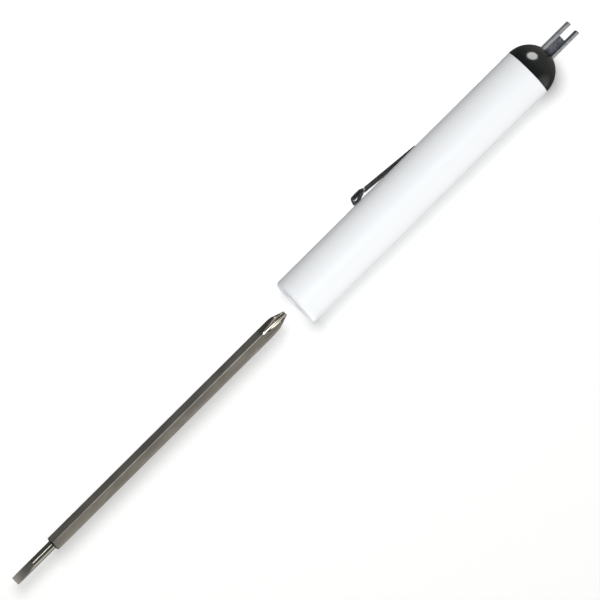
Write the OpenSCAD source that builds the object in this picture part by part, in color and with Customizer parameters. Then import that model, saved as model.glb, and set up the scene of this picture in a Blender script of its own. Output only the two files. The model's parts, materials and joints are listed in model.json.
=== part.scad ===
/* Pocket screwdriver with a reversible double-ended blade, a slotted fork tool
   on a domed end cap and a sprung pocket clip.
   The tool axis lies along X. The origin is on that axis at the barrel's nose
   face, +X points to the end cap and +Z points up. */

/* [Resting place] */
// How far the fork is rolled about the tool axis, with its +Y prong up
fork_roll = 18; // [0:0.5:45]
// How far the clip is turned up from +Y round the barrel
clip_roll = -7; // [-20:0.5:45]

/* [Barrel] */
// Outside diameter of the barrel and the domed cap
barrel_d = 14.3; // [13.6:0.1:16]
// Length from the nose face to the seam with the cap
barrel_len = 86.5; // [84:0.5:96]
// Wall thickness of the tube
barrel_wall = 1.8; // [1.6:0.1:2]
// Thickness of the closed nose wall
nose_wall = 3; // [2.5:0.5:4]
// Radius on the outer edge of the nose
nose_round = 1; // [0.5:0.1:1.4]

/* [Blade] */
// Width across the flats of the hexagonal shank
shank_af = 3.97; // [3.5:0.01:4.2]
// Overall length of the double-ended blade
blade_len = 100; // [90:1:110]
// Gap between the nose face and the cross-head point with the blade out
blade_gap = 3.5; // [1:0.5:10]
// Length of the blade that goes into the handle
seat_depth = 58; // [54:1:62]
// Diameter of the round neck behind the flat tip
neck_d = 2.5; // [2.2:0.1:3]
// Length of the round neck, shoulder chamfer included
neck_len = 7.5; // [5:0.5:10]
// Length of the ground wedge of the flat tip
wedge_len = 6.5; // [5:0.5:8]
// Width of the flat tip
flat_tip_w = 2.4; // [2:0.1:2.4]
// Thickness of the flat tip at its edge
flat_tip_t = 0.5; // [0.4:0.1:0.8]
// Length of the cone at the cross-head end
cross_cone_len = 3; // [2.5:0.1:3.4]
// Radius of the blunt cross-head point
cross_point_r = 0.75; // [0.5:0.05:0.9]
// Length of the four flutes of the cross-head end
flute_len = 8.5; // [7:0.5:10]

/* [Pocket clip] */
// Thickness of the spring strip
clip_t = 0.5; // [0.4:0.05:0.6]
// Breadth of the spring strip
clip_w = 4; // [3:0.5:5]
// Distance from the nose face to the bend at the root
clip_root_x = 51.7; // [50:0.5:56]
// Distance from the nose face to the centre of the rolled foot
foot_x = 30.55; // [28:0.5:34]
// Distance from the tool axis to the outside of the rolled foot
foot_reach = 9.2; // [9:0.05:9.8]
// Angle between the arm and the barrel
arm_slope = 5.4; // [5:0.1:6.5]

/* [Fork tool] */
// Width across both prongs
fork_w = 4.08; // [3.8:0.02:4.6]
// Height of each prong, web included
fork_h = 2.76; // [2.2:0.02:3]
// Thickness of the folded sheet
fork_t = 0.8; // [0.6:0.05:0.9]
// Length that stands out of the dome
fork_out = 9.75; // [8:0.25:12]
// Depth of the notch between the prong tips
notch_len = 4.05; // [3:0.1:5]

/* [Hidden] */

fine = 96;
eps = 0.01;
fit_gap = 0.02;
slide_gap = 0.05;

// barrel
barrel_r = barrel_d / 2;
bore_r = barrel_r - barrel_wall;
socket_af = shank_af + 2 * slide_gap;

// end cap
spigot_len = 9;
dome_x = barrel_len + barrel_r;

// fork
fork_root_x = barrel_len - 2.5;
fork_tip_x = dome_x + fork_out;
web_end_x = fork_tip_x - notch_len;
tip_chamfer = 0.3;

// blade
blade_x1 = -blade_gap;
blade_x0 = blade_x1 - blade_len;
shank_r = shank_af / sqrt(3);
shoulder_x = blade_x0 + wedge_len + neck_len;
shoulder_len = 0.7;
cone_x = blade_x1 - cross_cone_len;
flute_x = blade_x1 - flute_len;
flute_core_r = 0.4;
flute_angle = 92;
flute_slope = atan((shank_r - flute_core_r) / flute_len);

// blade holder and grip ring
holder_r = bore_r - fit_gap;
holder_x0 = nose_wall + fit_gap;
holder_end = seat_depth + 2;
ring_wire_r = 0.7;
ring_r = shank_r + fit_gap + ring_wire_r;
ring_pocket_r = ring_r + ring_wire_r + fit_gap;
ring_pocket_len = 2 * ring_wire_r + 2 * fit_gap;

// clip
hinge_r = barrel_r - clip_t / 2 / cos(arm_slope);
foot_r_out = (foot_reach - barrel_r) / 2;
foot_r_in = foot_r_out - clip_t;
foot_y = barrel_r + fit_gap + foot_r_out;
foot_lip_len = 1.85;
tail_len = 8;
tail_r1 = sqrt(pow(bore_r, 2) - pow(clip_w / 2, 2)) - fit_gap;
tail_top = hinge_r - clip_t / 2 - slide_gap;
seat_depth_r = hinge_r - clip_t / 2 - 2 * slide_gap;
seat_x0 = 46.8;
seat_x1 = clip_root_x + clip_t / 2 + slide_gap;
slot_w = clip_w + 4 * slide_gap;
score_x = 34.55;
score_depth = 0.16;

// Lays a solid that stands on Z along the tool axis.
module along_axis() {
    rotate([0, 90, 0])
        children();
}

// A rod of one radius between two places on the tool axis.
module rod(x0, x1, r) {
    translate([x0, 0, 0])
        along_axis()
            cylinder(r = r, h = x1 - x0, $fn = fine);
}

// A hexagonal bar with a corner straight up, by its width across the flats.
module hex_bar(x0, x1, af) {
    translate([x0, 0, 0])
        along_axis()
            cylinder(r = af / sqrt(3), h = x1 - x0, $fn = 6);
}

// A strip shape drawn in (distance along X, distance from the axis), given its
// breadth and turned to the clip's place round the barrel.
module at_clip(breadth) {
    rotate([clip_roll, 0, 0])
        linear_extrude(height = breadth, center = true)
            children();
}

// Half section of the closed-nose tube: radius across, distance along.
module barrel_section() {
    difference() {
        square([barrel_r, barrel_len]);
        difference() {
            translate([barrel_r - nose_round, -eps])
                square([nose_round + eps, nose_round + eps]);
            translate([barrel_r - nose_round, nose_round])
                circle(r = nose_round, $fn = fine);
        }
        translate([-eps, nose_wall])
            square([bore_r + eps, barrel_len]);
    }
}

// White tube: closed nose with a hexagonal hole, and a seat and slot for the clip.
module barrel() {
    color("white")
        difference() {
            along_axis()
                rotate_extrude($fn = fine)
                    barrel_section();
            hex_bar(-eps, nose_wall + eps, socket_af);
            at_clip(slot_w)
                translate([seat_x0, seat_depth_r])
                    square([seat_x1 - seat_x0, barrel_r]);
            at_clip(slot_w)
                translate([clip_root_x - clip_t / 2 - slide_gap, bore_r - 1])
                    square([clip_t + 2 * slide_gap, barrel_r]);
        }
}

// The U-shaped outline of the folded fork across the tool axis, open side up
// before the roll, and thickened all round by a gap.
module fork_section(gap) {
    for (side = [-1, 1])
        translate([0, side * (fork_w - fork_t) / 2])
            square([fork_h + 2 * gap, fork_t + 2 * gap], center = true);
    translate([(fork_h - fork_t) / 2, 0])
        square([fork_t + 2 * gap, fork_w - fork_t], center = true);
}

// A bar with the fork's outline between two places on the tool axis.
module fork_bar(x0, x1, gap) {
    rotate([fork_roll, 0, 0])
        translate([x0, 0, 0])
            along_axis()
                linear_extrude(height = x1 - x0)
                    fork_section(gap);
}

// Half section of the cap: radius across, distance along, seam at zero.
module cap_section() {
    intersection() {
        circle(r = barrel_r, $fn = fine);
        translate([0, fit_gap])
            square([barrel_r + 1, barrel_r + 1]);
    }
    translate([0, -spigot_len])
        square([bore_r - fit_gap, spigot_len + 1]);
}

// Glossy domed cap with a spigot that plugs the tube.
module end_cap() {
    color("black")
        difference() {
            translate([barrel_len, 0, 0])
                along_axis()
                    rotate_extrude($fn = fine)
                        cap_section();
            fork_bar(fork_root_x - fit_gap, fork_tip_x, fit_gap);
        }
}

// Steel fork that turns a slotted valve: a folded channel whose web stops short.
module valve_fork() {
    color("darkgray")
        difference() {
            fork_bar(fork_root_x, fork_tip_x, 0);
            rotate([fork_roll, 0, 0])
                translate([web_end_x, fork_t - fork_w / 2, -fork_h])
                    cube([notch_len + 1, fork_w - 2 * fork_t, 2 * fork_h]);
            rotate([fork_roll, 0, 0])
                for (edge = [-1, 1])
                    translate([fork_tip_x, 0, edge * fork_h / 2])
                        rotate([0, 45, 0])
                            cube([tip_chamfer * sqrt(2), 2 * fork_w, tip_chamfer * sqrt(2)], center = true);
        }
}

// Inner sleeve that guides the blade, with a closed end as its stop.
module blade_holder() {
    color("gainsboro")
        difference() {
            rod(holder_x0, holder_end, holder_r);
            hex_bar(holder_x0 - eps, seat_depth + slide_gap, socket_af);
            rod(holder_x0 - eps, holder_x0 + ring_pocket_len, ring_pocket_r);
            at_clip(slot_w)
                translate([clip_root_x - 1, tail_r1 - clip_t - slide_gap])
                    square([tail_len + 2, 2 * clip_t]);
        }
}

// Rubber ring in the front of the sleeve that grips the shank.
module grip_ring() {
    color("dimgray")
        translate([holder_x0 + ring_pocket_len / 2, 0, 0])
            along_axis()
                rotate_extrude($fn = fine)
                    translate([ring_r, 0])
                        circle(r = ring_wire_r, $fn = 48);
}

// Fixed end of the clip: through the slot, then along the inside of the tube.
module clip_tail() {
    color("slategray")
        at_clip(clip_w)
            union() {
                translate([clip_root_x - clip_t / 2, tail_r1 - clip_t])
                    square([clip_t, tail_top - tail_r1 + clip_t]);
                translate([clip_root_x - clip_t / 2, tail_r1 - clip_t])
                    square([tail_len, clip_t]);
            }
}

// Outline of the arm with its rolled foot: a straight strip, then a U-turn.
module arm_outline() {
    arm_len = (clip_root_x - foot_x) / cos(arm_slope);
    difference() {
        union() {
            translate([clip_root_x, hinge_r])
                circle(r = clip_t / 2, $fn = 48);
            translate([clip_root_x, hinge_r])
                rotate([0, 0, 180 - arm_slope])
                    translate([0, -clip_t / 2])
                        square([arm_len, clip_t]);
            difference() {
                translate([foot_x, foot_y])
                    circle(r = foot_r_out, $fn = fine);
                translate([foot_x, foot_y])
                    circle(r = foot_r_in, $fn = fine);
                translate([foot_x, foot_y - 2 * foot_r_out])
                    square([2 * foot_r_out, 4 * foot_r_out]);
            }
            translate([foot_x - eps, foot_y - foot_r_out])
                square([foot_lip_len, clip_t]);
        }
        translate([score_x, hinge_r + (clip_root_x - score_x) * tan(arm_slope) + clip_t / 2])
            rotate([0, 0, 45 - arm_slope])
                square([score_depth * sqrt(2), score_depth * sqrt(2)], center = true);
    }
}

// Springy arm of the clip with its rolled foot on the tube.
module clip_arm() {
    color("slategray")
        at_clip(clip_w)
            arm_outline();
}

// Outer form of the blade between its ends: point, cone, shank, shoulder, neck.
module blade_turning() {
    translate([blade_x0, 0, 0])
        along_axis()
            rotate_extrude($fn = fine)
                polygon([
                    [0, 0],
                    [neck_d / 2, 0],
                    [neck_d / 2, shoulder_x - shoulder_len - blade_x0],
                    [shank_r, shoulder_x - blade_x0],
                    [shank_r, cone_x - blade_x0],
                    [cross_point_r, blade_len],
                    [0, blade_len]
                ]);
}

// What the grinding leaves of the flat tip: a wedge with straight sides.
module flat_tip_form() {
    wedge_x = blade_x0 + wedge_len;
    translate([0, flat_tip_w / 2, 0])
        rotate([90, 0, 0])
            linear_extrude(height = flat_tip_w)
                polygon([
                    [blade_x0, -flat_tip_t / 2],
                    [wedge_x, -neck_d / 2],
                    [wedge_x, neck_d / 2],
                    [blade_x0, flat_tip_t / 2]
                ]);
    hex_bar(wedge_x - eps, blade_x1, shank_af);
}

// One V-shaped flute of the cross-head end, cut at a slope towards the point.
module flute_cut() {
    reach = 2 * shank_r;
    half_w = reach * tan(flute_angle / 2);
    translate([flute_x, 0, shank_r])
        rotate([0, 90 + flute_slope, 0])
            translate([0, 0, -1])
                linear_extrude(height = flute_len + 4)
                    polygon([[0, 0], [-reach, half_w], [-reach, -half_w]]);
}

// Double-ended blade: flat tip outward, cross-head point towards the nose.
module blade() {
    color("silver")
        difference() {
            intersection() {
                blade_turning();
                flat_tip_form();
            }
            for (turn = [0, 90, 180, 270])
                rotate([turn, 0, 0])
                    flute_cut();
        }
}

barrel();
end_cap();
valve_fork();
blade_holder();
grip_ring();
clip_tail();
clip_arm();
blade();
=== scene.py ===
"""Pocket screwdriver: the finished look of its barrel, cap, fork, clip and blade."""

import json
import math

import bmesh
import bpy
from bpy.props import FloatProperty, FloatVectorProperty, PointerProperty
from mathutils import Matrix, Vector


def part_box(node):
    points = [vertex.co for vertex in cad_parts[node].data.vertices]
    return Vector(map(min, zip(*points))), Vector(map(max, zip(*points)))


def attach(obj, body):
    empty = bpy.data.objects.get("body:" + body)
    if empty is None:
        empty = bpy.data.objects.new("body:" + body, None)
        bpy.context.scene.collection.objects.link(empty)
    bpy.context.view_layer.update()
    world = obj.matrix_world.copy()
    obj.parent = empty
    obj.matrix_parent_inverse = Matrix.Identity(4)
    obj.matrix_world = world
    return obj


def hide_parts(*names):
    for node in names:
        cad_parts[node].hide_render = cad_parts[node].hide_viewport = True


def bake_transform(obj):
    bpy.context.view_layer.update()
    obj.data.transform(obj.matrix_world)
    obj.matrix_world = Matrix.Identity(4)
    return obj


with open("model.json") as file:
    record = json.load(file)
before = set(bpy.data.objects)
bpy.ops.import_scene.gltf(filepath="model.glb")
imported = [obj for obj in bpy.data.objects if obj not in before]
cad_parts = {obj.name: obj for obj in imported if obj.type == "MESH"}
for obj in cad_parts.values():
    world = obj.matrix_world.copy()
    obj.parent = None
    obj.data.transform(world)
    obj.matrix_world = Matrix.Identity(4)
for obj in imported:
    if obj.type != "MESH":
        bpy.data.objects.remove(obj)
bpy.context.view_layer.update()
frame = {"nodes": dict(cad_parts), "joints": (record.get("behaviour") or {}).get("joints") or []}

bl_info = {
    "name": "Pocket Screwdriver",
    "version": (1, 0, 0),
    "blender": (4, 5, 0),
    "location": "View3D > Sidebar > Pocket Tool",
    "description": "Builds a pocket screwdriver with a reversible blade, a fork tool and a clip",
    "category": "Add Mesh",
}

MM = 0.001


def box_mm(node):
    """Lowest and highest corner of a frame node, in millimetres."""
    low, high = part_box(node)
    return low / MM, high / MM


def joint_named(name):
    """The frame's joint of that name."""
    return next(joint for joint in frame["joints"] if joint["name"] == name)


# Places that the frame gives, in millimetres.
BARREL_LOW, BARREL_HIGH = box_mm("barrel")
FORK_LOW, FORK_HIGH = box_mm("valve_fork")
BLADE_LOW, BLADE_HIGH = box_mm("blade")
TAIL_LOW, TAIL_HIGH = box_mm("clip_tail")
HINGE = Vector(joint_named("clip_flex")["pos_m"]) / MM
BARREL_R = BARREL_HIGH.z
SEAM_X = BARREL_HIGH.x
SHANK_AF = BLADE_HIGH.y - BLADE_LOW.y
SHANK_R = SHANK_AF / math.sqrt(3)
ROLL = math.atan2(HINGE.z, HINGE.y)
OUTWARD = Vector((0, math.cos(ROLL), math.sin(ROLL)))
ACROSS = Vector((0, -math.sin(ROLL), math.cos(ROLL)))
AXIS_X = Vector((1, 0, 0))


def length(name, millimetres, description):
    """A size in the panel, shown in the scene's length unit."""
    return FloatProperty(
        name=name, description=description, default=millimetres * MM,
        min=0, precision=5, subtype="DISTANCE", unit="LENGTH",
    )


def angle(name, degrees, description):
    """An angle in the panel."""
    return FloatProperty(
        name=name, description=description, default=math.radians(degrees),
        subtype="ANGLE", unit="ROTATION",
    )


def factor(name, value, description):
    """A number from 0 to 1 in the panel."""
    return FloatProperty(name=name, description=description, default=value, min=0, max=1, subtype="FACTOR")


def colour(name, value, description):
    """A colour in the panel."""
    return FloatVectorProperty(
        name=name, description=description, default=value, size=3, min=0, max=1, subtype="COLOR",
    )


# ---------------------------------------------------------------- settings

class HandleSettings(bpy.types.PropertyGroup):
    """Sizes and colours of the barrel and the domed cap."""

    nose_round: length("Nose radius", 1.0, "Rounding of the outer edge of the nose")
    seam_round: length("Seam radius", 0.12, "Rounding of the two edges that meet at the cap's seam")
    dome_height: length("Dome height", 7.55, "Height of the dome above the seam")
    socket_gap: length("Socket clearance", 0.05, "Clearance on each side of the shank in its hexagonal hole")
    nose_wall: length("Nose wall", 3.0, "Thickness of the closed nose")
    seat_start: length("Clip seat start", 46.8, "Distance from the nose to the near end of the clip's seat")
    seat_width: length("Clip seat width", 4.2, "Breadth of the seat cut for the clip")
    barrel_colour: colour("Barrel", (0.7, 0.715, 0.735), "Moulded white plastic")
    cap_colour: colour("Cap", (0.0065, 0.0075, 0.0075), "Polished black plastic")


class ForkSettings(bpy.types.PropertyGroup):
    """Sizes and colours of the folded fork."""

    width: length("Width", 4.08, "Width across both prongs")
    height: length("Height", 2.76, "Height of a prong, web included")
    sheet: length("Sheet", 0.8, "Thickness of the folded sheet")
    notch: length("Notch", 4.05, "Depth of the notch between the prong tips")
    edge_round: length("Edge radius", 0.13, "Rounding that tumbling leaves on the edges")
    roll: angle("Roll", 18, "Turn of the fork about the tool axis, its +Y prong up")
    metal: colour("Metal", (0.4, 0.41, 0.42), "Tumbled steel")


class ClipSettings(bpy.types.PropertyGroup):
    """Sizes and colours of the pocket clip."""

    strip: length("Strip thickness", 0.5, "Thickness of the spring strip")
    breadth: length("Strip breadth", 4.0, "Breadth of the spring strip")
    slope: angle("Arm slope", 5.3, "Angle between the arm and the barrel")
    bend_radius: length("Bend radius", 0.32, "Radius of the two bends at the root")
    foot_reach: length("Foot reach", 9.2, "Distance from the tool axis to the outside of the rolled foot")
    lip_gap: length("Lip gap", 0.02, "Clearance between the lip and the barrel")
    foot_x: length("Foot centre", 30.55, "Distance from the nose to the centre of the rolled foot")
    lip: length("Lip length", 2.9, "Length of the strip that is rolled back under the foot")
    crease_x: length("Crease", 34.3, "Distance from the nose to the crease between the arm and the foot")
    joggle: length("Joggle", 1.3, "Length over which the strip steps out to the foot")
    # Lean of the pale line painted as a highlight at the crease.
    crease_highlight_lean: FloatProperty(name="Crease lean", description="How far the crease leans", default=0.83)
    metal: colour("Metal", (0.25, 0.245, 0.26), "Dark polished nickel")


class BladeSettings(bpy.types.PropertyGroup):
    """Sizes and colours of the double-ended blade."""

    neck: length("Neck diameter", 2.5, "Diameter of the round neck behind the flat tip")
    neck_length: length("Neck length", 7.5, "From the shoulder to the start of the wedge")
    wedge_length: length("Wedge length", 6.5, "Length of the ground wedge")
    tip_width: length("Tip width", 2.4, "Width of the flat tip")
    tip_thickness: length("Tip thickness", 0.5, "Thickness of the flat tip at its edge")
    cone_length: length("Cone length", 4.0, "Length of the cone at the cross-head end")
    point_radius: length("Point radius", 0.75, "Radius of the blunt cross-head point")
    flute_length: length("Flute length", 8.5, "Length of the four flutes")
    flute_angle: angle("Flute angle", 70, "Angle between the two sides of a flute")
    steel: colour("Steel", (0.4, 0.38, 0.34), "Drawn and plated steel")


class StageSettings(bpy.types.PropertyGroup):
    """Camera, floor and light."""

    azimuth: angle("Azimuth", -45, "Direction that the camera looks from, round the vertical")
    elevation: angle("Elevation", 83.5, "Height of the camera above the horizon")
    frame_width: length("Frame width", 157.4, "Width of the picture at the object")
    target_x: length("Target", 1.66, "Place on the tool axis at the centre of the picture")
    floor_grey: factor("Floor", 0.82, "Reflectance of the floor")
    floor_glow: factor("Floor glow", 0.285, "Light that the floor gives off")
    dim_side: colour("Dim side", (0.105, 0.107, 0.105), "Surround above and on the clip's side")
    bright_side: colour("Bright side", (0.95, 0.925, 0.88), "Surround past the side without a clip")
    cap_side: colour("Cap side", (0.42, 0.43, 0.39), "Surround past the cap")


# ---------------------------------------------------------------- shader maths

class Value:
    """A node socket that carries a number and takes part in Python expressions."""

    def __init__(self, shader, socket):
        self.shader = shader
        self.socket = socket

    def _math(self, operation, *values):
        sockets = dict(enumerate(values))
        return self.shader.node("ShaderNodeMath", {"operation": operation}, sockets)

    def __add__(self, other):
        return self._math("ADD", self, other)

    def __radd__(self, other):
        return self._math("ADD", other, self)

    def __sub__(self, other):
        return self._math("SUBTRACT", self, other)

    def __rsub__(self, other):
        return self._math("SUBTRACT", other, self)

    def __mul__(self, other):
        return self._math("MULTIPLY", self, other)

    def __rmul__(self, other):
        return self._math("MULTIPLY", other, self)

    def size(self):
        """The value without its sign."""
        return self._math("ABSOLUTE", self)

    def step(self, low, high):
        """0 below low, 1 above high and smooth in between."""
        return self.shader.node(
            "ShaderNodeMapRange", {"interpolation_type": "SMOOTHSTEP"},
            {"Value": self, "From Min": low, "From Max": high},
        )


class Shader:
    """One material or world, with a single method that adds any node to it."""

    def __init__(self, owner):
        self.owner = owner
        owner.use_nodes = True
        self.tree = owner.node_tree
        self.tree.nodes.clear()

    def node(self, kind, settings, sockets, output=0):
        """Adds a node, sets its settings first and then its sockets, and returns one output."""
        made = self.tree.nodes.new(kind)
        for key, value in settings.items():
            setattr(made, key, value)
        for key, value in sockets.items():
            if isinstance(value, Value):
                self.tree.links.new(value.socket, made.inputs[key])
            else:
                made.inputs[key].default_value = value
        return Value(self, made.outputs[output]) if made.outputs else None

    def place(self, scale=(1, 1, 1)):
        """Object coordinates in millimetres, stretched by a scale along each axis."""
        coords = self.node("ShaderNodeTexCoord", {}, {}, "Object")
        stretch = tuple(part / MM for part in scale)
        return self.node("ShaderNodeVectorMath", {"operation": "MULTIPLY"}, {0: coords, 1: stretch})

    def along(self, axis):
        """Distance along X, Y or Z in millimetres."""
        return self.node("ShaderNodeSeparateXYZ", {}, {0: self.place()}, axis)

    def noise(self, scale, detail=2.0, rough=0.5, stretch=(1, 1, 1), distortion=0.0):
        """Noise between 0 and 1, with its scale per millimetre."""
        sockets = {
            "Vector": self.place(stretch), "Scale": scale, "Detail": detail,
            "Roughness": rough, "Distortion": distortion,
        }
        return self.node("ShaderNodeTexNoise", {}, sockets)

    def specks(self, scale, radius):
        """1 inside small scattered cells and 0 outside them."""
        sockets = {"Vector": self.place(), "Scale": scale, "Randomness": 1.0}
        distance = self.node("ShaderNodeTexVoronoi", {"feature": "F1"}, sockets, "Distance")
        return 1 - distance.step(radius * 0.6, radius)

    def mix(self, amount, first, second):
        """A colour between two colours."""
        return self.node(
            "ShaderNodeMix", {"data_type": "RGBA", "blend_type": "MIX"},
            {0: amount, 6: first, 7: second}, 2,
        )

    def bump(self, height, strength, distance_mm):
        """A normal that follows a height."""
        sockets = {"Height": height, "Strength": strength, "Distance": distance_mm * MM}
        return self.node("ShaderNodeBump", {}, sockets)

    def finish(self, **sockets):
        """Ends the material in a Principled surface with these sockets."""
        surface = self.node("ShaderNodeBsdfPrincipled", {}, {
            key.replace("_", " "): value for key, value in sockets.items()
        })
        self.node("ShaderNodeOutputMaterial", {}, {"Surface": surface})
        return self.owner


def new_material(name):
    """An empty material, ready for its nodes."""
    return Shader(bpy.data.materials.new(name))


def rgba(shade, gain=1.0):
    """A colour with full alpha, made lighter or darker by a gain."""
    return tuple(min(1.0, part * gain) for part in shade) + (1.0,)


# ---------------------------------------------------------------- materials

def white_plastic(shade):
    """Glossy white moulding with a faint flow pattern and fine handling marks."""
    shader = new_material("white_plastic")
    cloud = shader.noise(0.09, 3, 0.5, (0.5, 1, 1))
    marks = shader.noise(1.1, 4, 0.6, (0.06, 1, 1), 0.4).step(0.62, 0.78)
    grain = shader.noise(7.0, 2, 0.5)
    base = shader.mix(cloud * 0.6, rgba(shade), rgba(shade, 0.97))
    return shader.finish(
        Base_Color=base,
        Roughness=0.3 + cloud * 0.05 + marks * 0.08,
        Normal=shader.bump(grain + marks * 0.4, 0.12, 0.01),
        IOR=1.49,
        Specular_IOR_Level=0.5,
    )


def black_plastic(shade):
    """Polished black moulding with dust in its gloss and a few hair scratches."""
    shader = new_material("black_plastic")
    dust = shader.specks(2.6, 0.16)
    haze = shader.noise(0.5, 4, 0.6)
    hair = shader.noise(1.2, 3, 0.5, (0.25, 1, 1), 1.2).step(0.66, 0.7)
    base = shader.mix(dust * 0.25, rgba(shade), rgba((0.06, 0.06, 0.055)))
    return shader.finish(
        Base_Color=base,
        Roughness=0.1 + haze * 0.08 + dust * 0.1 + hair * 0.08,
        Normal=shader.bump(haze, 0.1, 0.05),
        IOR=1.5,
    )


def tumbled_steel(shade, roll, channel):
    """Dull tumbled steel, mottled and pitted, with painted shade: a darker bluish colour across the channel
    between the flanges, where the recessed web lies in shade.
    """
    shader = new_material("tumbled_steel")
    mottle = shader.noise(1.1, 4, 0.62)
    pits = shader.specks(3.4, 0.22)
    fine = shader.noise(9.0, 3, 0.6)
    across = shader.along(1) * math.cos(roll) + shader.along(2) * math.sin(roll)
    # Mask across the channel between the flanges, where the painted shade of the recessed web goes.
    inside = 1 - across.size().step(channel, channel + 0.1)
    worn = shader.mix(mottle.step(0.35, 0.7), rgba(shade, 0.78), rgba(shade, 1.15))
    # Darker bluish colours, mottled: the painted shade inside the channel.
    scale = shader.mix(mottle.step(0.3, 0.75), rgba((0.08, 0.09, 0.11)), rgba((0.22, 0.235, 0.26)))
    base = shader.mix(pits * 0.5, shader.mix(inside, worn, scale), rgba(shade, 0.3))
    return shader.finish(
        Base_Color=base,
        Metallic=0.55,
        Roughness=0.36 + mottle * 0.16 + pits * 0.1,
        Normal=shader.bump(fine + mottle * 2 - pits * 1.5, 0.35, 0.03),
    )


def dark_nickel(shade, crease_x, crease_out, lean):
    """Polished dark nickel plate, brushed along the strip, with a painted highlight: a pale non-metallic
    line across the strip at the crease.
    """
    shader = new_material("dark_nickel")
    brushed = shader.noise(6.0, 3, 0.6, (0.05, 1, 1))
    tint = shader.noise(0.45, 3, 0.5)
    # A slanted line at the crease, set by its place along the strip and its lean, where a highlight is
    # painted.
    offset = shader.along(0) - crease_x - (shader.along(1) - crease_out) * lean
    # Painted highlight: pale and not metallic along the crease line.
    crease_highlight = 1 - offset.size().step(0.08, 0.2)
    base = shader.mix(tint, rgba(shade, 0.85), rgba(shade, 1.25))
    return shader.finish(
        Base_Color=shader.mix(crease_highlight, base, rgba((0.75, 0.75, 0.76))),
        Metallic=1 - crease_highlight,
        Roughness=0.2 + brushed * 0.14,
        Normal=shader.bump(brushed, 0.18, 0.01),
    )


def drawn_steel(shade, wedge_end, shoulder, cone_start):
    """Drawn hexagonal bar: lines along the shank, and ground ends with cross marks."""
    shader = new_material("drawn_steel")
    place_x = shader.along(0)
    drawn = shader.noise(5.0, 4, 0.6, (0.03, 1, 1))
    ground = shader.noise(6.0, 3, 0.6, (1.6, 0.12, 0.12))
    ends = 1 - place_x.step(wedge_end - 0.6, wedge_end + 0.6) + place_x.step(cone_start - 1, cone_start + 1)
    turned = place_x.step(wedge_end - 0.4, wedge_end + 0.4) - place_x.step(shoulder - 0.2, shoulder)
    turned = turned + place_x.step(cone_start - 1, cone_start + 1)
    blotch = shader.noise(0.35, 3, 0.6, (0.35, 1, 1))
    scuffs = shader.noise(0.9, 4, 0.65, (0.5, 1, 1), 0.8).step(0.6, 0.72)
    lines = shader.mix(ends, drawn, ground)
    base = shader.mix(blotch.step(0.3, 0.75), rgba(shade, 0.82), rgba(shade, 1.15))
    base = shader.mix(scuffs * 0.4, base, rgba(shade, 0.6))
    return shader.finish(
        Base_Color=base,
        Metallic=1.0,
        Roughness=0.27 + drawn * 0.12 + scuffs * 0.1 - turned * 0.17,
        Normal=shader.bump(lines, 0.3, 0.012),
    )


def plain_moulding():
    """Matt off-white sleeve plastic with fine tool marks."""
    shader = new_material("plain_moulding")
    rings = shader.noise(4.0, 3, 0.5, (1, 0.1, 0.1))
    base = shader.mix(rings, rgba((0.62, 0.62, 0.6)), rgba((0.72, 0.72, 0.7)))
    return shader.finish(
        Base_Color=base, Roughness=0.5 + rings * 0.1, Normal=shader.bump(rings, 0.2, 0.02),
    )


def moulded_rubber():
    """Black rubber with a fine bloom."""
    shader = new_material("moulded_rubber")
    bloom = shader.noise(2.4, 4, 0.6)
    base = shader.mix(bloom, rgba((0.018, 0.018, 0.018)), rgba((0.04, 0.04, 0.04)))
    return shader.finish(
        Base_Color=base, Roughness=0.62 + bloom * 0.15, Normal=shader.bump(bloom, 0.3, 0.03),
    )


def pale_floor(grey, glow):
    """Plain pale floor, lit a little from below like a light table."""
    shader = new_material("pale_floor")
    tone = shader.noise(0.01, 2, 0.5)
    base = shader.mix(tone, rgba((grey, grey, grey)), rgba((grey, grey, grey), 1.01))
    return shader.finish(
        Base_Color=base, Roughness=0.9, Specular_IOR_Level=0.1,
        Emission_Color=(1, 1, 1, 1), Emission_Strength=glow,
    )


# ---------------------------------------------------------------- mesh tools

def ring_point(x, radius, turn):
    """A point round the tool axis: turn 0 is +Y and a quarter turn is +Z."""
    return Vector((x, radius * math.cos(turn), radius * math.sin(turn)))


def arc(centre, radius, start, end, steps):
    """Points on an arc in a plane, ends included, as (first, second) pairs."""
    points = []
    for index in range(steps + 1):
        turn = start + (end - start) * index / steps
        points.append((centre[0] + radius * math.cos(turn), centre[1] + radius * math.sin(turn)))
    return points


def add_mesh(name, vertices, faces, sharp_degrees=30):
    """A mesh object from points in millimetres, smooth apart from its sharp edges."""
    mesh = bpy.data.meshes.new(name)
    mesh.from_pydata([tuple(point * MM) for point in vertices], [], faces)
    mesh.update()
    work = bmesh.new()
    work.from_mesh(mesh)
    bmesh.ops.remove_doubles(work, verts=work.verts, dist=1e-7)
    bmesh.ops.recalc_face_normals(work, faces=work.faces)
    work.to_mesh(mesh)
    work.free()
    mesh.polygons.foreach_set("use_smooth", [True] * len(mesh.polygons))
    mesh.set_sharp_from_angle(angle=math.radians(sharp_degrees))
    obj = bpy.data.objects.new(name, mesh)
    bpy.context.scene.collection.objects.link(obj)
    return obj


def loft(rows, start_cap=True, end_cap=True, skip=None):
    """Vertices and faces of a skin over closed rows of points, all of the same length."""
    count = len(rows[0])
    vertices = [point for row in rows for point in row]
    faces = []
    for row in range(len(rows) - 1):
        for column in range(count):
            if skip and skip(row, column):
                continue
            after = (column + 1) % count
            faces.append((
                row * count + column, row * count + after,
                (row + 1) * count + after, (row + 1) * count + column,
            ))
    if start_cap:
        faces.append(tuple(reversed(range(count))))
    if end_cap:
        faces.append(tuple(range((len(rows) - 1) * count, len(rows) * count)))
    return vertices, faces


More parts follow.
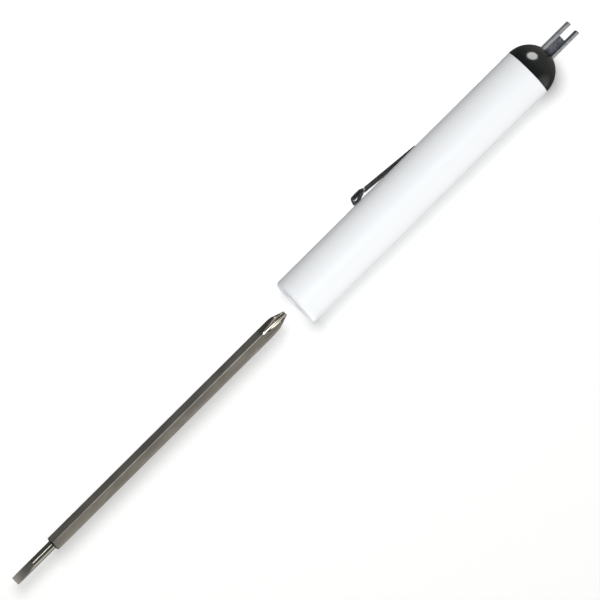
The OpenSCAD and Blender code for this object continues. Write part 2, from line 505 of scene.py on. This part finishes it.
def dress(obj, material, body, slot, *nodes):
    """Gives a finished piece its material and its body, and hides the frame nodes that it stands for."""
    obj.data.materials.append(material)
    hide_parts(*nodes)
    if body:
        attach(obj, body)


def hexagon_radius(turn, across_flats):
    """Distance from the axis to a hexagon with a corner straight up."""
    sector = (turn + math.pi / 6) % (math.pi / 3) - math.pi / 6
    return across_flats / 2 / math.cos(sector)


def soft_least(values, blend):
    """The least of some numbers, with the change from one to another rounded off."""
    least = min(values)
    total = sum(math.exp((least - value) / blend) for value in values)
    return least - blend * math.log(total)


# ---------------------------------------------------------------- barrel and cap

COLUMNS = 144
# Chamfer of the nose hole, and the wall seen at the open rear end, in millimetres.
HOLE_LEAD = 0.22
REAR_WALL = 1.6
REAR_DEPTH = 5
# How far the clip's seat runs past the root bend, and how deep its floor lies below it.
SEAT_END_GAP = 0.3
SEAT_DEPTH = 0.35
# The cap's gap at the seam and the part of its hidden shoulder that is drawn.
SEAM_GAP = 0.02
CAP_SHOULDER = 1.5
DOME_STEPS = 56


def barrel_rows(made):
    """Rows of the tube from inside the nose hole, over the outside, to inside the rear end."""
    turns = [2 * math.pi * index / COLUMNS for index in range(COLUMNS)]
    hole = SHANK_AF + 2 * made.socket_gap / MM
    wall = made.nose_wall / MM
    nose = made.nose_round / MM
    seam = made.seam_round / MM
    lead = HOLE_LEAD
    rows = []
    hole_rows = (
        (wall, hole), (wall / 2, hole), (lead, hole), (lead / 3, hole + lead * 0.8), (0, hole + 2 * lead),
    )
    for x, flats in hole_rows:
        rows.append([ring_point(x, hexagon_radius(turn, flats), turn) for turn in turns])
    flat_r = BARREL_R - nose
    for radius in (0.5 * flat_r, 0.7 * flat_r, 0.9 * flat_r):
        rows.append([ring_point(0, radius, turn) for turn in turns])
    half = math.asin(made.seat_width / MM / 2 / BARREL_R)
    first = round((ROLL - half) / (2 * math.pi) * COLUMNS)
    last = round((ROLL + half) / (2 * math.pi) * COLUMNS)
    snapped = list(turns)
    snapped[first % COLUMNS] = ROLL - half
    snapped[last % COLUMNS] = ROLL + half
    for x, radius in arc((nose, flat_r), nose, -math.pi, -math.pi * 1.5, 10):
        rows.append([ring_point(x, radius, turn) for turn in turns])
    seat_end = HINGE.x + SEAT_END_GAP
    outer = [nose + 1.0, 15, 30, made.seat_start / MM, HINGE.x - 2, seat_end, 60, 75]
    seat_row = len(rows) + outer.index(made.seat_start / MM)
    for x in outer:
        rows.append([ring_point(x, BARREL_R, turn) for turn in snapped])
    for x, radius in arc((SEAM_X - seam, BARREL_R - seam), seam, math.pi / 2, 0, 5):
        rows.append([ring_point(x, radius, turn) for turn in snapped])
    inner = BARREL_R - REAR_WALL
    rows.append([ring_point(SEAM_X, inner, turn) for turn in snapped])
    rows.append([ring_point(SEAM_X - REAR_DEPTH, inner, turn) for turn in snapped])
    return rows, seat_row, first, last


def build_barrel(made):
    """White tube with its hexagonal nose hole and the seat for the clip."""
    rows, seat_row, first, last = barrel_rows(made)
    seat_rows = (seat_row, seat_row + 1)

    def in_seat(row, column):
        return row in seat_rows and (column - first) % COLUMNS < last - first

    vertices, faces = loft(rows, False, False, in_seat)
    floor_height = HINGE.dot(OUTWARD) - SEAT_DEPTH
    columns = [column % COLUMNS for column in range(first, last + 1)]
    base = len(vertices)
    for row in range(seat_row, seat_row + 3):
        for column in columns:
            point = rows[row][column]
            vertices.append(point - OUTWARD * (point.dot(OUTWARD) - floor_height))
    width = len(columns)

    def floor_index(row, place):
        return base + row * width + place

    for row in range(2):
        for place in range(width - 1):
            faces.append((
                floor_index(row, place), floor_index(row, place + 1),
                floor_index(row + 1, place + 1), floor_index(row + 1, place),
            ))
    for row in range(2):
        for place in (0, width - 1):
            top = (seat_row + row) * COLUMNS + columns[place]
            faces.append((top, top + COLUMNS, floor_index(row + 1, place), floor_index(row, place)))
    for row in (0, 2):
        for place in range(width - 1):
            top = (seat_row + row) * COLUMNS
            faces.append((
                top + columns[place], top + columns[place + 1],
                floor_index(row, place + 1), floor_index(row, place),
            ))
    return add_mesh("barrel_shell", vertices, faces, 35)


def build_cap(made):
    """Domed cap: a rounded rim at the seam, then the dome."""
    turns = [2 * math.pi * index / COLUMNS for index in range(COLUMNS)]
    seam = made.seam_round / MM
    start = SEAM_X + SEAM_GAP
    outline = [(start, BARREL_R - CAP_SHOULDER)]
    outline += arc((start + seam, BARREL_R - seam), seam, -math.pi, -math.pi * 1.5, 5)
    rise = math.asin((start + seam - SEAM_X) / BARREL_R)
    outline += arc((SEAM_X, 0), BARREL_R, math.pi / 2 - rise - 0.01, math.radians(1.2), DOME_STEPS)
    stretch = made.dome_height / MM / BARREL_R
    outline = [(SEAM_X + (x - SEAM_X) * stretch, min(radius, BARREL_R)) for x, radius in outline]
    rows = [[ring_point(x, radius, turn) for turn in turns] for x, radius in outline]
    vertices, faces = loft(rows, False, True)
    return add_mesh("cap_dome", vertices, faces, 35)


# ---------------------------------------------------------------- fork

def fork_outline(made):
    """Corners of the folded channel across the tool axis, as (across, up) before the roll."""
    half_w = made.width / MM / 2
    half_h = made.height / MM / 2
    sheet = made.sheet / MM
    return [
        (-half_w, -half_h), (half_w, -half_h), (half_w, half_h), (half_w - sheet, half_h),
        (half_w - sheet, sheet - half_h), (sheet - half_w, sheet - half_h),
        (sheet - half_w, half_h), (-half_w, half_h),
    ]


def build_fork(made):
    """Folded steel channel whose web stops short of the two prong tips."""
    web_end = FORK_HIGH.x - made.notch / MM
    outline = fork_outline(made)
    count = len(outline)
    bottom = outline[0][1]
    work = bmesh.new()
    start = [work.verts.new((FORK_LOW.x, across, up)) for across, up in outline]
    ring = [work.verts.new((web_end, across, up)) for across, up in outline]
    low_right = work.verts.new((web_end, outline[4][0], bottom))
    low_left = work.verts.new((web_end, outline[5][0], bottom))
    for index in range(1, count):
        after = (index + 1) % count
        work.faces.new((start[index], start[after], ring[after], ring[index]))
    work.faces.new((start[0], start[1], ring[1], low_right, low_left, ring[0]))
    work.faces.new(list(reversed(start)))
    work.faces.new((ring[4], low_right, low_left, ring[5]))
    prongs = (
        (ring[1], ring[2], ring[3], ring[4], low_right),
        (ring[0], low_left, ring[5], ring[6], ring[7]),
    )
    for corners in prongs:
        tip = [work.verts.new((FORK_HIGH.x, vert.co.y, vert.co.z)) for vert in corners]
        for index in range(5):
            after = (index + 1) % 5
            work.faces.new((corners[index], corners[after], tip[after], tip[index]))
        work.faces.new(tip)
    bmesh.ops.dissolve_limit(work, angle_limit=math.radians(1), verts=work.verts, edges=work.edges)
    bmesh.ops.recalc_face_normals(work, faces=work.faces)
    sharp = [edge for edge in work.edges if edge.is_manifold and edge.calc_face_angle() > math.radians(30)]
    bmesh.ops.bevel(
        work, geom=sharp, offset=made.edge_round / MM, segments=4, profile=0.6,
        affect="EDGES", clamp_overlap=True,
    )
    turn = Matrix.Rotation(made.roll, 3, "X")
    vertices = [turn @ vert.co for vert in work.verts]
    work.verts.index_update()
    faces = [tuple(vert.index for vert in face.verts) for face in work.faces]
    work.free()
    return add_mesh("fork_channel", vertices, faces, 40)


# ---------------------------------------------------------------- clip

ARM_STEPS = 80
EDGE_ROUND = 0.12


def clip_path(made):
    """Centre line of the strip as (along, out from the axis), from the hidden tail to the lip."""
    half = made.strip / MM / 2
    tail_in = (TAIL_LOW.y + made.breadth / MM / 2 * abs(math.sin(ROLL))) / math.cos(ROLL)
    tail_out = tail_in + half
    bend = made.bend_radius / MM
    hinge_out = HINGE.dot(OUTWARD)
    foot_x = made.foot_x / MM
    outer = (made.foot_reach / MM - BARREL_R) / 2
    centre_out = BARREL_R + made.lip_gap / MM + outer
    radius = outer - half
    points = [(TAIL_HIGH.x, tail_out), (HINGE.x + 2, tail_out)]
    points += arc((HINGE.x + bend, tail_out + bend), bend, -math.pi / 2, -math.pi, 6)
    points += arc((HINGE.x - bend, hinge_out - bend), bend, 0, math.pi / 2 - made.slope, 6)
    start = points[-1]
    crease_x = made.crease_x / MM
    crease_out = start[1] + (start[0] - crease_x) * math.tan(made.slope)
    for index in range(1, ARM_STEPS + 1):
        share = index / ARM_STEPS
        points.append((start[0] + (crease_x - start[0]) * share, start[1] + (crease_out - start[1]) * share))
    level = centre_out + radius
    joggle = made.joggle / MM
    for share in (0.1, 0.25, 0.5, 0.75, 0.9, 1.0):
        ease = share * share * (3 - 2 * share)
        points.append((crease_x - joggle * share, crease_out + (level - crease_out) * ease))
    flat = crease_x - joggle - foot_x
    points += [(crease_x - joggle - flat * share, level) for share in (0.3, 0.6)]
    points += arc((foot_x, centre_out), radius, math.pi / 2, 1.5 * math.pi, 28)
    lip = made.lip / MM
    rise = level - 2 * half - made.lip_gap / MM - (centre_out - radius)
    for share in (0.15, 0.3, 0.45, 0.6, 0.75, 0.9, 1.0):
        points.append((foot_x + lip * share, centre_out - radius + rise * share * share * (3 - 2 * share)))
    return points


def strip_section(breadth, strip, round_off):
    """Half-rounded rectangle across the strip, as (across, out) pairs."""
    points = []
    corner = (breadth / 2 - round_off, strip / 2 - round_off)
    for quarter, (side, face) in enumerate(((1, 1), (-1, 1), (-1, -1), (1, -1))):
        start = quarter * math.pi / 2
        points += arc((side * corner[0], face * corner[1]), round_off, start, start + math.pi / 2, 4)
    return points


def build_clip(made):
    """Bent spring strip: tail, root bend, arm, crease, and a foot rolled back on itself."""
    path = clip_path(made)
    section = strip_section(made.breadth / MM, made.strip / MM, EDGE_ROUND)
    rows = []
    for index, (along, out) in enumerate(path):
        before = path[max(0, index - 1)]
        after = path[min(len(path) - 1, index + 1)]
        heading = Vector((after[0] - before[0], after[1] - before[1])).normalized()
        row = []
        for across, height in section:
            point = AXIS_X * (along + heading.y * height) + OUTWARD * (out - heading.x * height)
            row.append(point + ACROSS * across)
        rows.append(row)
    vertices, faces = loft(rows)
    return add_mesh("clip_strip", vertices, faces, 50)


# ---------------------------------------------------------------- blade

BLADE_COLUMNS = 192
CORNER_COLUMN = BLADE_COLUMNS // 8
# How far the bottom of a flute is rounded, as an angle round the blade.
FLUTE_ROUND = 0.24
# Radius of the core that the flutes leave at the point.
CORE_R = 0.4
# A radius that never limits anything, for directions that a flute doesn't reach.
NO_LIMIT = SHANK_R * 2
# How far the hexagon's edges are turned off and how softly: along the shank, and at its shoulder.
SHANK_EDGE = (0.06, 0.03)
SHOULDER_EDGE = (0.03, 0.018)
CHAMFER = 0.35
CHAMFER_ROUND = 0.06
# Length over which the wedge's corners run out into the round neck.
WEDGE_RUN_OUT = 0.8


def flute_limit(turn, x, made):
    """Distance from the axis to the nearest wall of the flute in this direction."""
    start = BLADE_HIGH.x - made.flute_length / MM
    share = (x - start) / (made.flute_length / MM)
    if share < 0:
        return NO_LIMIT
    floor = SHANK_R - (SHANK_R - CORE_R) * (1 - max(0, 1 - share) ** 1.5)
    quarter = math.pi / 2
    offset = (turn + quarter / 2) % quarter - quarter / 2
    offset = math.hypot(offset, FLUTE_ROUND) - FLUTE_ROUND
    side = math.cos(offset) - math.sin(offset) / math.tan(made.flute_angle / 2)
    if side <= 0.02:
        return NO_LIMIT
    return max(floor, 0.05) / side


def blade_radius(turn, x, made):
    """Distance from the axis to the shank or the cross-head end in this direction."""
    turned_off, softness = SHANK_EDGE
    limits = [hexagon_radius(turn, SHANK_AF), SHANK_R - turned_off]
    cone_x = BLADE_HIGH.x - made.cone_length / MM
    point_r = made.point_radius / MM
    if x > cone_x - 0.5:
        limits.append(SHANK_R - (x - cone_x) / (BLADE_HIGH.x - cone_x) * (SHANK_R - point_r))
    limits.append(flute_limit(turn, x, made))
    return soft_least(limits, softness)


def neck_radius(x, made):
    """Radius of the turned neck, with its fillet and the chamfer of the shoulder."""
    shoulder = BLADE_LOW.x + (made.wedge_length + made.neck_length) / MM
    neck = made.neck / MM / 2
    gap = shoulder - x
    if gap > CHAMFER + 0.5:
        return neck
    cone = neck + (CHAMFER - gap) / CHAMFER * (SHANK_R - neck)
    return -soft_least([-neck, -cone], CHAMFER_ROUND)


def neck_row(x, made):
    """Points round the neck and the ground wedge, with the wedge's corners on fixed columns."""
    radius = neck_radius(x, made)
    wedge = made.wedge_length / MM
    share = (x - BLADE_LOW.x) / wedge
    half_t = made.tip_thickness / MM / 2
    half_w = made.tip_width / MM / 2
    if share < 1:
        half = half_t + (radius - half_t) * (0.35 * share + 0.65 * share ** 2)
        corner = math.asin(min(0.985, half / radius))
    else:
        ease = min(1.0, (share - 1) * wedge / WEDGE_RUN_OUT)
        corner = math.radians(80) + (math.radians(45) - math.radians(80)) * ease
        half = radius
    quarter = []
    for index in range(BLADE_COLUMNS // 4):
        if index < CORNER_COLUMN:
            turn = corner * index / CORNER_COLUMN
        else:
            turn = corner + (math.pi / 2 - corner) * (index - CORNER_COLUMN) / CORNER_COLUMN
        across = radius * math.cos(turn)
        up = radius * math.sin(turn)
        if share < 1 and index >= CORNER_COLUMN:
            across = radius * math.cos(corner) * (1 - (index - CORNER_COLUMN) / CORNER_COLUMN)
            up = half
        quarter.append((min(across, half_w + 0.05 * max(0.0, share)), min(up, half)))
    row = [Vector((x, across, up)) for across, up in quarter]
    row += [Vector((x, -across, up)) for across, up in [(0, half if share < 1 else radius)] + quarter[:0:-1]]
    row += [Vector((x, -point.y, -point.z)) for point in row]
    return row


def stations(start, end, step):
    """Places from start to end, no further apart than a step, start left out."""
    count = max(1, math.ceil((end - start) / step))
    return [start + (end - start) * (index + 1) / count for index in range(count)]


def build_blade(made):
    """Hexagonal bar with a ground flat tip at one end and a cross-head point at the other."""
    shoulder = BLADE_LOW.x + (made.wedge_length + made.neck_length) / MM
    neck_end = shoulder - 1.4
    flute_x = BLADE_HIGH.x - made.flute_length / MM
    places = [BLADE_LOW.x] + stations(BLADE_LOW.x, BLADE_LOW.x + made.wedge_length / MM, 0.12)
    places += stations(places[-1], places[-1] + 1.0, 0.1) + stations(places[-1] + 1.0, neck_end, 0.8)
    rows = [neck_row(x, made) for x in places]
    edge = [Vector((rows[0][0].x, point.y * 0.6, point.z * 0.6)) for point in rows[0]]
    softened = []
    for point in rows[0]:
        softened.append(Vector((point.x, point.y - math.copysign(0.05, point.y), point.z * 0.8)))
    rows[0] = [point + AXIS_X * 0.05 for point in rows[0]]
    rows = [edge, softened] + rows
    turns = [2 * math.pi * index / BLADE_COLUMNS for index in range(BLADE_COLUMNS)]
    turned_off, softness = SHOULDER_EDGE
    for x in stations(neck_end, shoulder + 0.4, 0.045):
        limit = neck_radius(x, made)
        row = []
        for turn in turns:
            shank = soft_least([hexagon_radius(turn, SHANK_AF), SHANK_R - turned_off], softness)
            radius = soft_least([shank, limit], 0.02) if x < shoulder + 0.3 else shank
            row.append(ring_point(x, radius, turn))
        rows.append(row)
    for x in stations(shoulder + 0.4, flute_x - 1, 12):
        rows.append([ring_point(x, blade_radius(turn, x, made), turn) for turn in turns])
    for x in stations(flute_x - 1, BLADE_HIGH.x - 0.06, 0.07):
        rows.append([ring_point(x, blade_radius(turn, x, made), turn) for turn in turns])
    last = rows[-1]
    for inset, back in ((0.86, 0.015), (0.6, 0.0), (0.2, 0.0)):
        rows.append([Vector((BLADE_HIGH.x - back, point.y * inset, point.z * inset)) for point in last])
    vertices, faces = loft(rows)
    return add_mesh("blade_bar", vertices, faces, 38)


# ---------------------------------------------------------------- operators

class BuildBarrel(bpy.types.Operator):
    """Builds the white barrel."""

    bl_idname = "pocket_tool.barrel"
    bl_label = "Barrel"

    def execute(self, context):
        made = context.scene.tool_handle
        material = white_plastic(made.barrel_colour)
        dress(build_barrel(made), material, "handle", "barrel_plastic", "barrel")
        return {"FINISHED"}


class BuildCap(bpy.types.Operator):
    """Builds the black domed cap."""

    bl_idname = "pocket_tool.cap"
    bl_label = "Domed cap"

    def execute(self, context):
        made = context.scene.tool_handle
        material = black_plastic(made.cap_colour)
        dress(build_cap(made), material, "handle", "cap_plastic", "end_cap")
        return {"FINISHED"}


class BuildFork(bpy.types.Operator):
    """Builds the folded steel fork."""

    bl_idname = "pocket_tool.fork"
    bl_label = "Fork tool"

    def execute(self, context):
        made = context.scene.tool_fork
        channel = (made.width / 2 - made.sheet) / MM
        material = tumbled_steel(made.metal, made.roll, channel)
        dress(build_fork(made), material, "handle", "fork_steel", "valve_fork")
        return {"FINISHED"}


class BuildClip(bpy.types.Operator):
    """Builds the sprung pocket clip, which bends when its foot is lifted."""
    # Builds the pocket clip as a bent spring strip.

    bl_idname = "pocket_tool.clip"
    bl_label = "Pocket clip"

    def execute(self, context):
        made = context.scene.tool_clip
        clip = build_clip(made)
        reach = made.foot_reach / MM
        # The painted crease highlight sits a little past the crease, near the outside of the foot.
        material = dark_nickel(made.metal, made.crease_x / MM + 0.4, reach - 0.1, made.crease_highlight_lean)
        dress(clip, material, None, "clip_steel", "clip_arm", "clip_tail")
        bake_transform(clip)
        return {"FINISHED"}


class BuildBlade(bpy.types.Operator):
    """Builds the double-ended blade."""

    bl_idname = "pocket_tool.blade"
    bl_label = "Blade"

    def execute(self, context):
        made = context.scene.tool_blade
        wedge_end = BLADE_LOW.x + made.wedge_length / MM
        cone_start = BLADE_HIGH.x - made.flute_length / MM
        shoulder = wedge_end + made.neck_length / MM
        material = drawn_steel(made.steel, wedge_end, shoulder, cone_start)
        dress(build_blade(made), material, "blade", "blade_steel", "blade")
        return {"FINISHED"}


class FinishInside(bpy.types.Operator):
    """Gives the hidden sleeve and grip ring their materials."""

    bl_idname = "pocket_tool.inside"
    bl_label = "Inner sleeve and ring"

    def execute(self, context):
        for node, material in (("blade_holder", plain_moulding()), ("grip_ring", moulded_rubber())):
            data = frame["nodes"][node].data
            data.materials.clear()
            data.materials.append(material)
        return {"FINISHED"}


# Name, direction, half angles along and across the tool in degrees, and power of each light.
SOFT_LIGHTS = (
    ("key", (-0.15, -0.29, 1.0), (20, 20), 10.7),
    ("left_fill", (0.0, 0.48, 0.88), (30, 30), 3.0),
    ("right_fill", (0.0, -0.9, 0.45), (30, 30), 0.8),
    ("nose_fill", (-1.0, -0.5, -0.85), (25, 25), 13.0),
)
# The same for the floor, with the thin pieces that cast no shadow.
FLOOR_LIGHTS = (
    ("floor_light", (0.07, 0.26, 1.0), (17, 17), 5.4, ("fork_channel",)),
    ("floor_fill", (0.07, 0.26, 1.0), (17, 17), 2.8, ("fork_channel", "blade_bar")),
)
# The same for the cards that only gloss reflects; all but the dome's are for the blade alone.
GLOSS_CARDS = (
    ("ridge_card", (0.24, 0.14, 1.0), (21, 6), 2.3),
    ("flute_card", (0.72, 0.1, 1.0), (10, 24), 9.0),
    ("dome_card", (0.82, 0.44, 0.38), (16, 17), 9.4),
)


# Side step of the camera's target, in millimetres.
TARGET_Y = -0.28


class BuildStage(bpy.types.Operator):
    """Lays the floor and sets the lights and the camera."""

    bl_idname = "pocket_tool.stage"
    bl_label = "Floor, light and camera"

    def execute(self, context):
        made = context.scene.tool_stage
        self.set_surround(context, made)
        self.set_lights(context, self.lay_floor(made))
        self.set_camera(context, made)
        return {"FINISHED"}

    def lay_floor(self, made):
        """A large flat floor under the barrel."""
        size = 3000
        signs = ((-1, -1), (1, -1), (1, 1), (-1, 1))
        corners = [Vector((x * size, y * size, BARREL_LOW.z)) for x, y in signs]
        floor = add_mesh("floor", corners, [(0, 1, 2, 3)])
        floor.data.materials.append(pale_floor(made.floor_grey, made.floor_glow))
        floor.visible_glossy = False
        floor.visible_shadow = False
        return floor

    def set_surround(self, context, made):
        """A dim surround that grows lighter level with the tool, past its right side and its cap."""
        world = bpy.data.worlds.new("surround")
        shader = Shader(world)
        direction = shader.node("ShaderNodeTexCoord", {}, {}, "Generated")
        along = shader.node("ShaderNodeSeparateXYZ", {}, {0: direction}, 0)
        side = shader.node("ShaderNodeSeparateXYZ", {}, {0: direction}, 1)
        shade = shader.mix((0 - side).step(0.71, 0.97), rgba(made.dim_side), rgba(made.bright_side))
        shade = shader.mix(along.step(0.3, 0.95), shade, rgba(made.cap_side))
        glow = shader.node("ShaderNodeBackground", {}, {"Color": shade, "Strength": 1.0})
        shader.node("ShaderNodeOutputWorld", {}, {"Surface": glow})
        context.scene.world = world

    def add_lamp(self, context, name, direction, spread, power):
        """An oval softbox a metre away, by its direction and its two half angles."""
        lamp = bpy.data.lights.new(name, "AREA")
        lamp.shape = "ELLIPSE"
        lamp.size = 2 * math.tan(math.radians(spread[0]))
        lamp.size_y = 2 * math.tan(math.radians(spread[1]))
        lamp.energy = power
        holder = bpy.data.objects.new(name, lamp)
        aim = Vector(direction).normalized()
        side = (AXIS_X - aim * aim.x).normalized()
        holder.location = aim
        holder.rotation_mode = "QUATERNION"
        holder.rotation_quaternion = Matrix((side, aim.cross(side), aim)).transposed().to_quaternion()
        holder.visible_camera = False
        context.scene.collection.objects.link(holder)
        return holder

    def set_lights(self, context, floor):
        """Soft light for the tool, a light for the floor, and cards that only gloss reflects."""
        for name, direction, spread, power in SOFT_LIGHTS:
            lamp = self.add_lamp(context, name, direction, spread, power)
            lamp.visible_glossy = False
            self.light_only(lamp, floor, "EXCLUDE")
        for name, direction, spread, power, spared in FLOOR_LIGHTS:
            lamp = self.add_lamp(context, name, direction, spread, power)
            lamp.visible_glossy = False
            self.light_only(lamp, floor, "INCLUDE")
            self.spare_shadow(lamp, spared)
        for name, direction, spread, power in GLOSS_CARDS:
            card = self.add_lamp(context, name, direction, spread, power)
            card.visible_diffuse = False
            if name != "dome_card":
                self.light_only(card, bpy.data.objects["blade_bar"], "INCLUDE")

    def light_only(self, holder, piece, state):
        """Makes a lamp light one piece alone, or everything but that piece."""
        group = bpy.data.collections.new(holder.name + "_receivers")
        group.objects.link(piece)
        group.collection_objects[0].light_linking.link_state = state
        holder.light_linking.receiver_collection = group

    def spare_shadow(self, holder, names):
        """Keeps the named thin pieces from shading what a lamp lights."""
        group = bpy.data.collections.new(holder.name + "_blockers")
        for name in names:
            group.objects.link(bpy.data.objects[name])
        for link in group.collection_objects:
            link.light_linking.link_state = "EXCLUDE"
        holder.light_linking.blocker_collection = group

    def set_camera(self, context, made):
        """A long lens, almost straight above, turned so that the tool lies on the diagonal."""
        lens = bpy.data.cameras.new("camera")
        lens.lens = 1200
        lens.sensor_width = 36
        distance = made.frame_width / (lens.sensor_width / lens.lens)
        around = made.azimuth
        up = made.elevation
        back = Vector((math.sin(around) * math.cos(up), -math.cos(around) * math.cos(up), math.sin(up)))
        camera = bpy.data.objects.new("camera", lens)
        camera.location = Vector((made.target_x, TARGET_Y * MM, 0)) + back * distance
        camera.rotation_mode = "QUATERNION"
        camera.rotation_quaternion = back.to_track_quat("Z", "Y")
        lens.clip_start = distance * 0.1
        lens.clip_end = distance * 10
        context.scene.collection.objects.link(camera)
        context.scene.camera = camera
        context.scene.view_settings.view_transform = "Standard"


class ToolPanel(bpy.types.Panel):
    """Lists the pieces of the pocket tool."""

    bl_idname = "VIEW3D_PT_pocket_tool"
    bl_label = "Pocket Tool"
    bl_space_type = "VIEW_3D"
    bl_region_type = "UI"
    bl_category = "Pocket Tool"

    def draw(self, context):
        for operator in OPERATORS:
            self.layout.operator(operator.bl_idname)
        for name, group in SETTINGS.items():
            column = self.layout.column()
            for prop in group.__annotations__:
                column.prop(getattr(context.scene, name), prop)


OPERATORS = (BuildBarrel, BuildCap, BuildFork, BuildClip, BuildBlade, FinishInside, BuildStage)
SETTINGS = {
    "tool_handle": HandleSettings,
    "tool_fork": ForkSettings,
    "tool_clip": ClipSettings,
    "tool_blade": BladeSettings,
    "tool_stage": StageSettings,
}


def register():
    """Registers the settings, the operators and the panel."""
    for name, group in SETTINGS.items():
        bpy.utils.register_class(group)
        setattr(bpy.types.Scene, name, PointerProperty(type=group))
    for kind in OPERATORS + (ToolPanel,):
        bpy.utils.register_class(kind)


def unregister():
    """Removes everything that register added."""
    for kind in reversed(OPERATORS + (ToolPanel,)):
        bpy.utils.unregister_class(kind)
    for name, group in SETTINGS.items():
        delattr(bpy.types.Scene, name)
        bpy.utils.unregister_class(group)


def main():
    """Builds every piece in order."""
    register()
    bpy.ops.pocket_tool.barrel()
    bpy.ops.pocket_tool.cap()
    bpy.ops.pocket_tool.fork()
    bpy.ops.pocket_tool.clip()
    bpy.ops.pocket_tool.blade()
    bpy.ops.pocket_tool.inside()
    bpy.ops.pocket_tool.stage()


if __name__ == "__main__":
    main()
